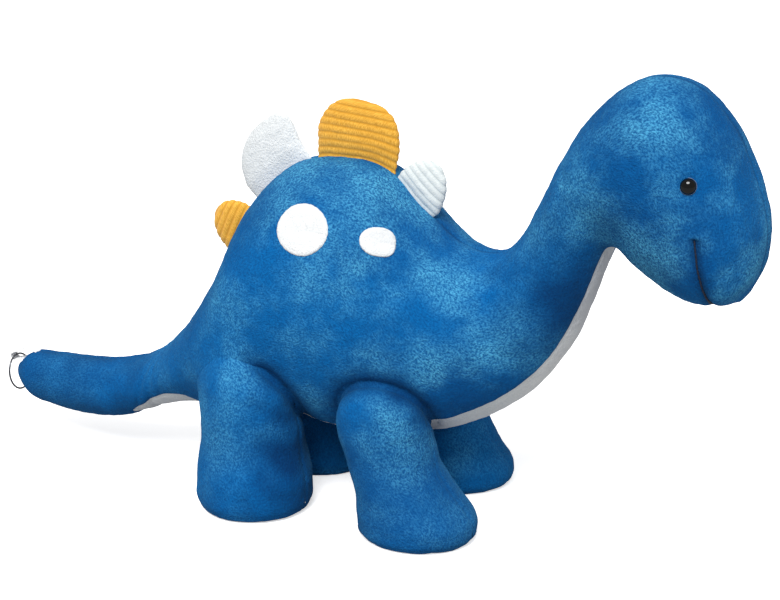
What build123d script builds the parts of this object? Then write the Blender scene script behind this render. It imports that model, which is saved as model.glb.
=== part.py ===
from build123d import *
import os
from math import cos, radians, sin, tan

# A stuffed long-necked dinosaur that stands on four legs, in millimetres.
# +X points to the head, +Y to the animal's left and +Z up; the origin is on the floor, mid-body.
# Plush panels are closed shells round solid stuffing. The neck, tail, legs and back plates flex at
# their seams, so each is a body of its own that keeps clear of the torso over its whole swing.

# Fabric
plush = 1.6
felt = 1.2
thread = 0.7
seam_gap = 0.6
socket_gap = 1.2
fill_gap = 0.02

# Overall sizes
torso_width = 134.0
neck_root_width = 74.0
head_width = 94.0
tail_root_width = 70.0
tail_length = 134.0
tail_root_x = -132.0

# How far the sewn sections flex, in degrees either way, and the spare angle beside each; a leg's
# socket needs more of it, because the wide foot rises as the leg tips
tail_swing = 20.0
neck_nod = 10.0
leg_swing = 6.0
swing_spare = 1.5
socket_spare = 7.5

# Legs
hip_out = 43.0
rear_hip_x = -52.0
rear_hip_z = 74.0
front_hip_x = 43.0
front_hip_z = 75.0
rear_thigh_radius = 33.0
front_thigh_radius = 31.0

# Back plates
plate_thickness = 9.0
plate_edge_round = 3.4
plate_gap = 1.0

# Eyes
eye_diameter = 10.0
eye_rise = 4.0
eye_shank_diameter = 3.0
eye_shank_length = 9.0
eye_x = 234.5
eye_z = 247.0
washer_diameter = 14.0
washer_thickness = 1.5
washer_depth = 3.2
eye_hole_gap = 0.15
pocket_gap = 0.3

# Tail ring and its ribbon
ring_radius = 12.5
ring_wire_radius = 0.7
ring_behind_tip = 4.35
ring_top_above_tip = 4.0
ribbon_width = 8.0
ribbon_thickness = 0.8
ribbon_loop_radius = 2.0
ribbon_reach = 17.0
ribbon_slope = 17.0

# Lengths that only have to pass right through something
through = 120.0

# Outlines. Each row is one section of the sewn tube, from the tail to the snout.
# Tail: share of the tail length, height of the top, height of the underside, share of the root width.
tail_outline = [
    (1.00, 52.0, 37.0, 0.17),
    (0.93, 60.0, 29.0, 0.37),
    (0.78, 62.0, 24.0, 0.51),
    (0.56, 63.0, 22.0, 0.60),
    (0.35, 67.0, 25.0, 0.69),
    (0.16, 76.0, 34.0, 0.82),
    (0.00, 92.0, 43.0, 1.00),
]

# Torso: top x, top z, underside x, underside z, share of the torso width.
torso_outline = [
    (-109.0, 117.0, -111.0, 48.0, 0.67),
    (-85.0, 155.0, -89.0, 50.0, 0.82),
    (-65.0, 197.0, -67.0, 50.0, 0.93),
    (-38.0, 223.0, -39.0, 50.0, 0.99),
    (-4.0, 231.0, -8.0, 49.0, 1.00),
    (27.0, 226.0, 24.0, 48.0, 0.97),
    (53.0, 203.0, 54.0, 52.0, 0.91),
    (77.0, 184.0, 88.0, 65.0, 0.79),
    (102.0, 180.0, 121.0, 86.0, 0.66),
]

# The section where the neck flexes.
neck_root = (121.0, 196.0, 149.0, 118.0)

# Neck and head: the same four places, then the share of the head width.
head_outline = [
    (134.0, 222.0, 164.0, 150.0, 0.73),
    (145.0, 247.0, 173.0, 178.0, 0.75),
    (164.0, 277.0, 178.5, 193.0, 0.83),
    (192.0, 297.0, 185.5, 193.0, 0.92),
    (221.0, 296.0, 194.0, 185.0, 0.98),
    (250.0, 275.0, 205.0, 177.0, 1.00),
    (266.0, 245.0, 217.0, 171.0, 0.96),
    (271.0, 216.0, 232.0, 167.0, 0.83),
    (268.0, 188.0, 249.0, 168.0, 0.54),
    (262.0, 175.0, 257.0, 170.0, 0.20),
]

# Underside gusset: place along the body and half width there.
gusset_outline = [(-132.0, 9.0), (-103.0, 20.0), (-48.0, 28.0), (62.0, 28.0), (117.0, 22.0), (152.0, 16.0), (184.0, 9.0)]
throat = (180.0, 198.0)
gusset_outside = [(188.0, 150.0), (162.0, 70.0), (92.0, 20.0), (-138.0, 15.0)]

# Mouth line on each cheek, from its upper end to the underside of the snout: x, z.
mouth_line = [(241.0, 216.0), (243.0, 200.0), (245.5, 187.0), (250.0, 174.0), (253.0, 160.0)]
mouth_width = 2.0

# Leg sections: share of the drop from hip to floor, share of the lean towards the foot, radius
# along the body, radius across it.
rear_leg_sections = [
    (0.00, 0.0, rear_thigh_radius, rear_thigh_radius),
    (0.40, 0.3, 35.0, 33.5),
    (0.73, 1.0, 38.5, 37.0),
    (0.93, 1.0, 37.5, 36.0),
    (1.00, 1.0, 31.0, 30.0),
]
front_leg_sections = [
    (0.00, 0.0, front_thigh_radius, front_thigh_radius),
    (0.40, 0.3, 30.0, 31.0),
    (0.63, 0.7, 33.0, 33.5),
    (0.85, 1.0, 38.5, 35.5),
    (0.96, 1.0, 36.5, 33.5),
    (1.00, 1.0, 30.0, 27.5),
]

# Each leg: sections, hip, then the foot's centre on the floor. The right side has negative Y.
legs = {
    "rear_right": (rear_leg_sections, (rear_hip_x, -hip_out, rear_hip_z), (-49.0, -48.5)),
    "rear_left": (rear_leg_sections, (rear_hip_x, hip_out, rear_hip_z), (-46.0, 40.0)),
    "front_right": (front_leg_sections, (front_hip_x, -hip_out, front_hip_z), (68.0, -47.0)),
    "front_left": (front_leg_sections, (front_hip_x, hip_out, front_hip_z), (55.0, 50.0)),
}

# Each back plate: where its seam starts and ends along the ridge, its height and its forward lean.
plates = {
    "plate_tail": (-86.0, -71.5, 26.0, 0.0),
    "plate_rear": (-69.5, -29.0, 34.0, 0.1),
    "plate_top": (-25.0, 34.0, 36.5, -0.05),
    "plate_front": (34.0, 59.0, 21.0, 0.0),
}

# Felt spots on the right flank, mirrored to the left: x, z, radius along x, radius along z.
spots = {
    "spot_large": (-8.5, 194.2, 18.0, 14.6),
    "spot_small": (39.4, 190.4, 9.9, 7.8),
}


def section_plane(row):
    """The plane of one tube section: local x runs from underside to top, normal towards the head."""
    top = Vector(row[0], 0, row[1])
    under = Vector(row[2], 0, row[3])
    up = (top - under).normalized()
    return Plane(origin=(top + under) / 2, x_dir=up, z_dir=Vector(0, 1, 0).cross(up))


def sewn_tube(rows, inset, closed=None):
    """Lofts elliptical sections; each row is top x, z, underside x, z and the half width.

    The row numbered closed is a sewn-shut end, so it moves inwards by the inset as well.
    """
    with BuildPart() as tube:
        for number, row in enumerate(rows):
            height = Vector(row[0] - row[2], 0, row[1] - row[3]).length
            shift = 0 if number != closed else inset if number == 0 else -inset
            with BuildSketch(section_plane(row).offset(shift)):
                Ellipse(height / 2 - inset, row[4] - inset)
        loft()
    return tube.part


def flex_wedge(plane, swing, toward_mover):
    """The V of space that lets a section turn about the plane's z axis, on its local x side."""
    slope = tan(radians(swing + swing_spare))
    reach = through / 2
    with BuildPart() as wedge:
        with BuildSketch(plane):
            with BuildLine():
                Polyline(
                    (-toward_mover, -reach),
                    (seam_gap + reach * slope, -reach),
                    (seam_gap, 0),
                    (seam_gap + reach * slope, reach),
                    (-toward_mover, reach),
                    close=True,
                )
            make_face()
        extrude(amount=through, both=True)
    return wedge.part


def leg_tube(sections, hip, foot, grow, swing, lowest):
    """Lofts a leg from its round thigh top to its foot, larger all over by grow.

    swing widens every section below the hip by what it sweeps at that angle.
    """
    hip_x, hip_y, hip_z = hip
    slope = tan(radians(swing))
    thigh = sections[0][2] + grow
    with BuildPart() as limb:
        for rise in (80, 60, 40, 20):
            with BuildSketch(Plane(origin=(hip_x, hip_y, hip_z + thigh * sin(radians(rise))))):
                Circle(thigh * cos(radians(rise)))
        for drop, lean, along, across in sections:
            fall = min(hip_z * drop, hip_z - lowest)
            x = hip_x + (foot[0] - hip_x) * lean
            y = hip_y + (foot[1] - hip_y) * lean
            with BuildSketch(Plane(origin=(x, y, hip_z - fall))):
                Ellipse(along + grow + fall * slope, across + grow + fall * slope / 3)
        loft()
    return limb.part


def leg_solid(sections, hip, foot, inset):
    """A leg, or the stuffing inside its panels."""
    return leg_tube(sections, hip, foot, -inset, 0, inset)


def hip_socket(sections, hip, foot):
    """The room that a leg needs in the torso over its whole swing."""
    return leg_tube(sections, hip, foot, socket_gap, leg_swing + socket_spare, 0)


def plate_block(plane, length, height, lean, inset):
    """A flat rounded tab that stands on the plane's x axis, smaller all over by the inset."""
    half = length / 2 - inset
    shoulder = height * 0.35
    crown = (lean * height, height - inset)
    with BuildPart() as block:
        with BuildSketch(plane):
            with BuildLine():
                Spline((-half, shoulder), crown, (half, shoulder), tangents=((0, 1), (0, -1)))
                Polyline((half, shoulder), (half - 2, inset), (2 - half, inset), (-half, shoulder))
            make_face()
        extrude(amount=plate_thickness / 2 - inset, both=True)
        flat_sides = block.faces().sort_by(Axis.Y)
        fillet(flat_sides[0].edges() + flat_sides[-1].edges(), plate_edge_round - inset)
    return block.part


def surface_point(solid, x, z):
    """The outermost point of a solid on its right side, seen along Y at x and z."""
    crossing = solid.intersect(Axis((x, 0, z), (0, -1, 0)))
    return min((p for e in crossing for p in (e @ 0, e @ 1)), key=lambda p: p.Y)


def ridge_point(solid, x):
    """The top of a solid's middle line at x."""
    crossing = solid.intersect(Axis((x, 0, 0), (0, 0, 1)))
    return max((p for e in crossing for p in (e @ 0, e @ 1)), key=lambda p: p.Z)


def write(part, label):
    """Names a finished piece and writes its file."""
    part.label = label
    export_step(part, f"parts/{label}.step")


os.makedirs("parts", exist_ok=True)

tail_rows = [
    (tail_root_x - tail_length * along, top, tail_root_x - tail_length * along, under, tail_root_width / 2 * share)
    for along, top, under, share in tail_outline
]
neck_row = (*neck_root, neck_root_width / 2)
torso_rows = [tail_rows[-1]]
torso_rows += [(*row[:4], torso_width / 2 * row[4]) for row in torso_outline]
torso_rows += [neck_row]
head_rows = [neck_row]
head_rows += [(*row[:4], head_width / 2 * row[4]) for row in head_outline]

# Gusset zone: everything under the middle line and inside the gusset's plan outline.
middle_rows = [row for row in torso_rows + head_rows[1:3]]
middle_line = [((row[0] + row[2]) / 2, (row[1] + row[3]) / 2) for row in middle_rows]
with BuildPart() as gusset_zone:
    with BuildSketch(Plane.XY):
        with BuildLine():
            Polyline(
                *gusset_outline,
                *[(x, -half) for x, half in reversed(gusset_outline)],
                close=True,
            )
        make_face()
    extrude(amount=through * 2)
    with BuildSketch(Plane.XZ):
        with BuildLine():
            Polyline(*middle_line, throat, *gusset_outside, close=True)
        make_face()
    extrude(amount=through, both=True, mode=Mode.INTERSECT)

# Torso
torso_outer = sewn_tube(torso_rows, 0)
torso_inner = sewn_tube(torso_rows, plush)
sockets = [hip_socket(*leg) for leg in legs.values()]

with BuildPart() as torso_stuffing:
    add(torso_inner)
    add(sockets, mode=Mode.SUBTRACT)
write(torso_stuffing.part, "torso_stuffing")

with BuildPart() as torso_skin:
    add(torso_outer)
    add(torso_inner, mode=Mode.SUBTRACT)
    add(sockets, mode=Mode.SUBTRACT)

with BuildPart() as belly_gusset:
    add(torso_skin.part)
    add(gusset_zone.part, mode=Mode.INTERSECT)
write(belly_gusset.part, "belly_gusset")

with BuildPart() as torso_panel_right:
    add(torso_skin.part)
    add(gusset_zone.part, mode=Mode.SUBTRACT)
    split(bisect_by=Plane.XZ, keep=Keep.TOP)
write(torso_panel_right.part, "torso_panel_right")

with BuildPart() as torso_panel_left:
    add(torso_skin.part)
    add(gusset_zone.part, mode=Mode.SUBTRACT)
    split(bisect_by=Plane.XZ, keep=Keep.BOTTOM)
write(torso_panel_left.part, "torso_panel_left")

# Felt spots, curved to the flanks
spot_layer = sewn_tube(torso_rows, -felt)
for name, (x, z, along, up) in spots.items():
    with BuildPart() as spot_right:
        with BuildSketch(Plane.XZ):
            with Locations((x, z)):
                Ellipse(along, up)
        extrude(amount=through)
        add(spot_layer, mode=Mode.INTERSECT)
        add(torso_outer, mode=Mode.SUBTRACT)
    write(spot_right.part, f"{name}_right")
    write(mirror(spot_right.part, about=Plane.XZ), f"{name}_left")

# Tail, cut back in a V where it meets the torso
tail_outer = sewn_tube(tail_rows, 0)
tail_inner = sewn_tube(tail_rows, plush, closed=0)
tail_root_middle = (tail_root_x, 0, (tail_rows[-1][1] + tail_rows[-1][3]) / 2)
tail_wedge = flex_wedge(Plane(origin=tail_root_middle, x_dir=(-1, 0, 0), z_dir=(0, 0, 1)), tail_swing, plush)

with BuildPart() as tail_stuffing:
    add(tail_inner)
    add(tail_wedge, mode=Mode.SUBTRACT)
write(tail_stuffing.part, "tail_stuffing")

with BuildPart() as tail_skin:
    add(tail_outer)
    add(tail_inner, mode=Mode.SUBTRACT)
    add(tail_wedge, mode=Mode.SUBTRACT)

with BuildPart() as tail_panel_right:
    add(tail_skin.part)
    split(bisect_by=Plane.XZ, keep=Keep.TOP)
write(tail_panel_right.part, "tail_panel_right")

with BuildPart() as tail_panel_left:
    add(tail_skin.part)
    split(bisect_by=Plane.XZ, keep=Keep.BOTTOM)
write(tail_panel_left.part, "tail_panel_left")

# Ring at the tail's tip, and the ribbon that holds it
ring_x = tail_rows[0][0] - ring_behind_tip
ring_top_z = tail_rows[0][1] + ring_top_above_tip
with BuildPart() as tail_ribbon:
    with BuildSketch(Plane(origin=(ring_x, 0, ring_top_z), x_dir=(1, 0, 0), z_dir=(0, -1, 0))):
        Circle(ribbon_loop_radius + ribbon_thickness)
        Rectangle(ribbon_reach, 2 * ribbon_thickness, rotation=ribbon_slope, align=(Align.MIN, Align.CENTER))
        Circle(ribbon_loop_radius, mode=Mode.SUBTRACT)
    extrude(amount=ribbon_width / 2, both=True)
    add(tail_outer, mode=Mode.SUBTRACT)
write(tail_ribbon.part, "tail_ribbon")

with BuildPart() as tail_ring:
    with Locations((ring_x, 0, ring_top_z - ring_radius)):
        Torus(ring_radius, ring_wire_radius, rotation=(0, 90, 0))
write(tail_ring.part, "tail_ring")

# Neck and head, cut back in a V where they meet the torso
head_outer = sewn_tube(head_rows, 0)
head_inner = sewn_tube(head_rows, plush, closed=len(head_rows) - 1)
neck_plane = section_plane(neck_row)
neck_wedge = flex_wedge(
    Plane(origin=neck_plane.origin, x_dir=neck_plane.z_dir, z_dir=(0, 1, 0)), neck_nod, plush
)

# Eyes: a domed button whose shank goes through the cheek into a locking washer
eye_seat = surface_point(head_outer, eye_x, eye_z)
eye_facing = min(head_outer.faces(), key=lambda f: f.distance_to(eye_seat)).normal_at(eye_seat)
eye_plane = Plane(origin=eye_seat, z_dir=eye_facing)
washer_plane = eye_plane.offset(-washer_depth)

with BuildPart() as eye_right:
    with BuildSketch(eye_plane):
        Circle(eye_diameter / 2)
    extrude(amount=eye_rise)
    fillet(eye_right.edges().filter_by(GeomType.CIRCLE).sort_by_distance(washer_plane.origin)[-1], eye_rise * 0.9)
    with BuildSketch(eye_plane):
        Circle(eye_shank_diameter / 2)
    extrude(amount=-eye_shank_length)
write(eye_right.part, "eye_right")
write(mirror(eye_right.part, about=Plane.XZ), "eye_left")

with BuildPart() as eye_washer_right:
    with BuildSketch(washer_plane):
        Circle(washer_diameter / 2)
        Circle(eye_shank_diameter / 2, mode=Mode.SUBTRACT)
    extrude(amount=-washer_thickness)
write(eye_washer_right.part, "eye_washer_right")
write(mirror(eye_washer_right.part, about=Plane.XZ), "eye_washer_left")

with BuildPart() as eye_room:
    with BuildSketch(eye_plane.offset(plush)):
        Circle(eye_shank_diameter / 2 + eye_hole_gap)
    extrude(amount=-plush - eye_shank_length - pocket_gap)
    with BuildSketch(eye_plane.offset(plush)):
        Circle(washer_diameter / 2 + pocket_gap)
    extrude(amount=-plush - washer_depth - washer_thickness - pocket_gap)

with BuildPart() as eye_hole:
    with BuildSketch(eye_plane.offset(plush)):
        Circle(eye_shank_diameter / 2 + eye_hole_gap)
    extrude(amount=-plush * 3)

with BuildPart() as head_stuffing:
    add(sewn_tube(head_rows, plush + fill_gap, closed=len(head_rows) - 1))
    add(neck_wedge, mode=Mode.SUBTRACT)
    add(eye_room.part, mode=Mode.SUBTRACT)
    add(mirror(eye_room.part, about=Plane.XZ), mode=Mode.SUBTRACT)
write(head_stuffing.part, "head_stuffing")

with BuildPart() as head_skin:
    add(head_outer)
    add(head_inner, mode=Mode.SUBTRACT)
    add(neck_wedge, mode=Mode.SUBTRACT)
    add(eye_hole.part, mode=Mode.SUBTRACT)
    add(mirror(eye_hole.part, about=Plane.XZ), mode=Mode.SUBTRACT)

with BuildPart() as throat_gusset:
    add(head_skin.part)
    add(gusset_zone.part, mode=Mode.INTERSECT)
write(throat_gusset.part, "throat_gusset")

with BuildPart() as head_panel_right:
    add(head_skin.part)
    add(gusset_zone.part, mode=Mode.SUBTRACT)
    split(bisect_by=Plane.XZ, keep=Keep.TOP)
write(head_panel_right.part, "head_panel_right")

with BuildPart() as head_panel_left:
    add(head_skin.part)
    add(gusset_zone.part, mode=Mode.SUBTRACT)
    split(bisect_by=Plane.XZ, keep=Keep.BOTTOM)
write(head_panel_left.part, "head_panel_left")

# Mouth: one line of stitches from cheek to cheek under the snout
with BuildPart() as mouth_stitching:
    with BuildSketch(Plane.XZ):
        with BuildLine():
            Spline(*mouth_line)
        trace(line_width=mouth_width)
    extrude(amount=through, both=True)
    add(sewn_tube(head_rows, -thread), mode=Mode.INTERSECT)
    add(head_outer, mode=Mode.SUBTRACT)
write(mouth_stitching.part, "mouth_stitching")

# Legs: two panels round the stuffing
for name, (sections, hip, foot) in legs.items():
    leg_outer = leg_solid(sections, hip, foot, 0)
    leg_inner = leg_solid(sections, hip, foot, plush)
    side = -1 if hip[1] < 0 else 1
    leg_seam = Plane(origin=(0, hip[1], 0), x_dir=(1, 0, 0), z_dir=(0, side, 0))
    write(leg_inner, f"leg_{name}_stuffing")
    with BuildPart() as leg_skin:
        add(leg_outer)
        add(leg_inner, mode=Mode.SUBTRACT)
    with BuildPart() as leg_outer_panel:
        add(leg_skin.part)
        split(bisect_by=leg_seam, keep=Keep.TOP)
    write(leg_outer_panel.part, f"leg_{name}_outer_panel")
    with BuildPart() as leg_inner_panel:
        add(leg_skin.part)
        split(bisect_by=leg_seam, keep=Keep.BOTTOM)
    write(leg_inner_panel.part, f"leg_{name}_inner_panel")

# Back plates: a fabric cover round flat batting, with a round foot that turns on the ridge
for name, (rear_x, front_x, height, lean) in plates.items():
    rear_end = ridge_point(torso_outer, rear_x)
    front_end = ridge_point(torso_outer, front_x)
    chord = front_end - rear_end
    along = chord.normalized()
    up = Vector(-along.Z, 0, along.X)
    samples = [ridge_point(torso_outer, rear_x + (front_x - rear_x) * share / 6) for share in range(1, 6)]
    bulge = max((point - rear_end).dot(up) for point in samples)
    foot_middle = (rear_end + front_end) / 2 + up * (bulge + plate_gap)
    plate_plane = Plane(origin=foot_middle, x_dir=along, z_dir=Vector(0, -1, 0))

    cover_block = plate_block(plate_plane, chord.length, height, lean, 0)
    batting_block = plate_block(plate_plane, chord.length, height, lean, plush)
    with BuildPart() as plate_cover:
        add(cover_block)
        add(batting_block, mode=Mode.SUBTRACT)
    write(plate_cover.part, f"{name}_cover")
    write(batting_block, f"{name}_batting")
    print(name, "foot middle", foot_middle, "seam direction", along, "length", round(chord.length, 1))

print("eye seat", eye_seat, "facing", eye_facing)
print("neck hinge", neck_plane.origin, "tail hinge", tail_root_middle)
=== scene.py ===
# %% [markdown]
# # A stuffed long-necked dinosaur
#
# The toy is a set of sewn tubes: one runs from the tail to the snout, each leg is another, and each back
# plate is a small flat one. A tube here is a grid of points. Its rows are sections along the tube and its
# columns go once round. Everything is worked out on whole grids with numpy, and a piece of the toy is cut
# from a grid as a block of its faces, so neighbouring panels share their edge exactly.
#
# Blender works in metres. The tables below are in millimetres because that is easier to read.

import bmesh
import bpy
import numpy as np
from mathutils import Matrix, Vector
from mathutils.bvhtree import BVHTree


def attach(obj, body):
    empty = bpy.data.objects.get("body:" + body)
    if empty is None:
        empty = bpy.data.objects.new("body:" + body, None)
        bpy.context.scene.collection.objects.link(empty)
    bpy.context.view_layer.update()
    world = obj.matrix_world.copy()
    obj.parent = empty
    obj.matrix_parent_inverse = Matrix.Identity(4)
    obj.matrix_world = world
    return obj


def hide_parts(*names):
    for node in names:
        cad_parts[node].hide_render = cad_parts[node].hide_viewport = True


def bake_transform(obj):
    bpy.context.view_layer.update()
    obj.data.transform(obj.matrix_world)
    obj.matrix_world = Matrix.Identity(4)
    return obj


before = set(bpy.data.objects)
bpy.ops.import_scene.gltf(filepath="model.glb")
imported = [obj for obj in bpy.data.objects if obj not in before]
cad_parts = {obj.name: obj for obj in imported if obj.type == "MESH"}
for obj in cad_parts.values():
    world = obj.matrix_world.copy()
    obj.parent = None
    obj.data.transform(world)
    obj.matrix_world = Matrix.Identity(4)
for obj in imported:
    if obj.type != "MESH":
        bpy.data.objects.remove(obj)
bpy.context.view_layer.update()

# %% [markdown]
# ## The outline of the body
#
# Each row is one section through the toy: the point on the back, the point on the belly, half the width
# and half the width of the white strip underneath. The first and last rows have no width, because there the two
# side panels are sewn to each other.

# %% Sections
BODY = [
    # top x, top z, under x, under z, half width, half width of the strip
    (-268.2, 48.5, -268.2, 40.5, 0.0, 0.0),
    (-267.6, 50.6, -267.6, 38.4, 3.6, 1.4),
    (-266.0, 52.0, -266.0, 37.0, 6.0, 2.4),
    (-256.6, 60.0, -256.6, 29.0, 13.0, 4.5),
    (-236.5, 62.0, -236.5, 24.0, 17.9, 6.0),
    (-207.0, 63.0, -207.0, 22.0, 21.0, 7.0),
    (-178.9, 67.0, -178.9, 25.0, 24.2, 8.0),
    (-153.4, 76.0, -153.4, 34.0, 28.7, 22.0),
    (-132.0, 92.0, -132.0, 43.0, 35.0, 31.0),
    (-109.0, 117.0, -111.0, 48.0, 44.9, 34.0),
    (-85.0, 155.0, -89.0, 50.0, 54.9, 22.0),
    (-65.0, 197.0, -67.0, 50.0, 62.3, 26.0),
    (-38.0, 223.0, -39.0, 50.0, 66.3, 28.0),
    (-4.0, 231.0, -8.0, 49.0, 67.0, 28.0),
    (27.0, 226.0, 24.0, 48.0, 65.0, 31.0),
    (53.0, 203.0, 54.0, 52.0, 61.0, 33.5),
    (77.0, 184.0, 88.0, 65.0, 52.9, 32.0),
    (102.0, 180.0, 121.0, 86.0, 44.2, 27.0),
    (121.0, 196.0, 149.0, 118.0, 37.0, 20.0),
    (134.0, 222.0, 164.0, 150.0, 34.3, 17.0),
    (145.0, 247.0, 173.0, 178.0, 35.3, 14.5),
    (164.0, 277.0, 178.5, 193.0, 39.0, 12.0),
    (192.0, 299.0, 185.5, 193.0, 43.2, 9.0),
    (221.0, 299.0, 194.0, 185.0, 46.1, 9.0),
    (248.0, 276.5, 205.0, 177.0, 47.0, 9.0),
    (264.0, 245.0, 217.0, 171.0, 45.1, 9.0),
    (271.0, 216.0, 232.0, 167.0, 39.0, 8.0),
    (268.0, 188.0, 249.0, 168.0, 25.4, 6.0),
    (262.0, 175.0, 257.0, 170.0, 9.4, 3.0),
    (261.4, 173.2, 257.6, 169.4, 5.2, 1.5),
    (260.8, 172.0, 258.2, 169.4, 0.0, 0.0),
]
TAIL_ROOT, NECK_ROOT = 8, 18
NECK_HINGE, TAIL_HINGE = (0.135, 0.0, 0.157), (-0.132, 0.0, 0.0675)

# Legs: share of the drop to the floor, share of the lean towards the foot, radius along, radius across.
REAR_LEG = [
    (0.00, 0.0, 33.0, 33.0),
    (0.40, 0.3, 35.0, 33.5),
    (0.73, 1.0, 38.5, 37.0),
    (0.93, 1.0, 37.5, 36.0),
    (0.985, 1.0, 34.5, 33.2),
    (1.00, 1.0, 31.0, 30.0),
]
FRONT_LEG = [
    (0.00, 0.0, 31.0, 31.0),
    (0.40, 0.3, 30.0, 31.0),
    (0.63, 0.7, 33.0, 33.5),
    (0.85, 1.0, 38.5, 35.5),
    (0.96, 1.0, 36.5, 33.5),
    (0.99, 1.0, 33.5, 31.0),
    (1.00, 1.0, 30.0, 27.5),
]
LEGS = {
    # sections, hip x, y and z, foot x and y
    "rear_right": (REAR_LEG, (-52.0, -43.0, 74.0), (-49.0, -48.5)),
    "rear_left": (REAR_LEG, (-52.0, 43.0, 74.0), (-46.0, 40.0)),
    "front_right": (FRONT_LEG, (43.0, -43.0, 75.0), (68.0, -47.0)),
    "front_left": (FRONT_LEG, (43.0, 43.0, 75.0), (55.0, 50.0)),
}

# Back plates: seam from and to along the ridge, height, forward lean, how boxy each end is, share of the
# height with straight sides, ribs, colour.
PLATES = {
    "plate_tail": (-85.0, -70.6, 25.0, 0.08, (1.9, 1.9), 0.2, True, "mustard"),
    "plate_rear": (-67.6, -27.4, 34.0, 0.22, (2.1, 3.4), 0.35, False, "white"),
    "plate_top": (-25.0, 32.0, 37.0, -0.09, (1.9, 2.9), 0.35, True, "mustard"),
    "plate_front": (32.6, 58.4, 25.0, -0.1, (1.9, 1.8), 0.08, True, "white"),
}
EYE = (234.5, 247.0)
MOUTH = [(240.5, 216.0), (242.0, 200.0), (244.0, 187.0), (246.0, 174.0), (247.0, 160.0)]
SPOTS = {
    # x, z, radius along, radius up, how irregular, how much it falls towards the head
    "spot_large": (-8.5, 194.2, 18.0, 14.6, -0.03, 0.05),
    "spot_small": (39.4, 190.4, 9.9, 7.8, 0.13, 0.28),
}

# %% [markdown]
# ## Tools for grids
#
# `curve_through` draws a smooth line through the table's rows, and `evenly` picks points on it at equal
# distances. `tube` turns sections into a grid of points, and `normals_of` finds which way the grid faces.

# %% Grid tools
BLOCK = 4  # a panel's plain back has one face for each block of 4 by 4 on its front


def curve_through(rows, knots, at):
    """A cubic through the rows.

    Between two of them it is (2t³-3t²+1) p0 + (t³-2t²+t) g m0 + (3t²-2t³) p1 + (t³-t²) g m1, where g is
    the gap between their knots and m is a row's slope.
    """
    gap = np.diff(knots)[:, None]
    chord = np.diff(rows, axis=0) / gap
    slope = np.concatenate([chord[:1], np.zeros((len(rows) - 2, rows.shape[1])), chord[-1:]])
    slope[1:-1] = (chord[:-1] * gap[1:] + chord[1:] * gap[:-1]) / (gap[1:] + gap[:-1])
    i = np.clip(np.searchsorted(knots, at, side="right") - 1, 0, len(gap) - 1)
    g = gap[i]
    t = (at - knots[i])[:, None] / g
    start = (2 * t**3 - 3 * t**2 + 1) * rows[i] + (t**3 - 2 * t**2 + t) * g * slope[i]
    return start + (3 * t**2 - 2 * t**3) * rows[i + 1] + (t**3 - t**2) * g * slope[i + 1]


def evenly(rows, cuts, counts):
    """Rows on the curve, in counts[k] equal steps from row cuts[k] to row cuts[k + 1].

    A step is measured along whichever of the back, the belly and the side is longest there.
    """
    middle = np.stack([rows[:, 0] + rows[:, 2], rows[:, 1] + rows[:, 3]], 1) / 2
    steps = np.linalg.norm(np.diff(middle, axis=0), axis=1) + np.abs(np.diff(rows[:, 4])) * 0.3
    knots = np.concatenate([[0], np.cumsum(steps)])
    found = []
    for k, count in enumerate(counts):
        at = np.linspace(knots[cuts[k]], knots[cuts[k + 1]], 1200)
        line = curve_through(rows, knots, at)
        move = np.abs(np.diff(line[:, :5], axis=0))
        back, belly = np.hypot(move[:, 0], move[:, 1]), np.hypot(move[:, 2], move[:, 3])
        along = np.concatenate([[0], np.cumsum(np.maximum.reduce([back, belly, move[:, 4]]))])
        even = np.interp(np.linspace(0, along[-1], count + 1), along, at)
        found.append(curve_through(rows, knots, even)[0 if k == 0 else 1 :])
    return np.concatenate(found)


def tube(sections, angle, middle_y=0.0, power=2.0):
    """Points middle + cos(a) * half height - sin(a) * half width * y, for each section and angle, in metres.

    Power 2 makes each section an ellipse, and more makes it boxier.
    """
    top, under, width = sections[:, 0:2], sections[:, 2:4], sections[:, 4]
    middle, half = (top + under) / 2, (top - under) / 2
    c = np.sign(np.cos(angle)) * np.abs(np.cos(angle)) ** (2 / power)
    s = np.sign(np.sin(angle)) * np.abs(np.sin(angle)) ** (2 / power)
    x = middle[:, 0, None] + c * half[:, 0, None]
    z = middle[:, 1, None] + c * half[:, 1, None]
    y = np.asarray(middle_y).reshape(-1, 1) - s * np.maximum(width, 0)[:, None]
    return np.stack([x, y + 0 * x, z], -1) / 1000


def normals_of(grid):
    """Unit normals, the step round crossed with the step along; the last column is the first one again."""
    along = np.gradient(grid, axis=0)
    ring = grid[:, :-1]
    round_ = np.roll(ring, -1, 1) - np.roll(ring, 1, 1)
    round_ = np.concatenate([round_, round_[:, :1]], 1)
    n = np.cross(round_, along)
    return n / np.maximum(np.linalg.norm(n, axis=-1, keepdims=True), 1e-12)


def lengths_of(grid):
    """The grid's own map in metres: distance along the tube and distance round it."""
    along = np.linalg.norm(np.diff(grid, axis=0), axis=-1).mean(1)
    along = np.concatenate([[0], np.cumsum(along)])[:, None] + 0 * grid[..., 0]
    round_ = np.cumsum(np.linalg.norm(np.diff(grid, axis=1), axis=-1), axis=1)
    return np.stack([along, np.concatenate([0 * round_[:, :1], round_], 1)], -1)


def noise(points, size, seed):
    """Smooth lumps from -1 to 1, size metres apart.

    They are random values on a cubic lattice, mixed by 3t²-2t³ along each axis.
    """
    table = np.random.default_rng(seed).uniform(-1, 1, (32, 32, 32))
    cell = points / size
    low = np.floor(cell).astype(int)
    t = cell - low
    t = t * t * (3 - 2 * t)
    total = 0
    for corner in np.ndindex(2, 2, 2):
        share = np.prod(np.where(np.array(corner) == 1, t, 1 - t), axis=-1)
        at = (low + corner) % 32
        total = total + share * table[at[..., 0], at[..., 1], at[..., 2]]
    return total


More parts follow.
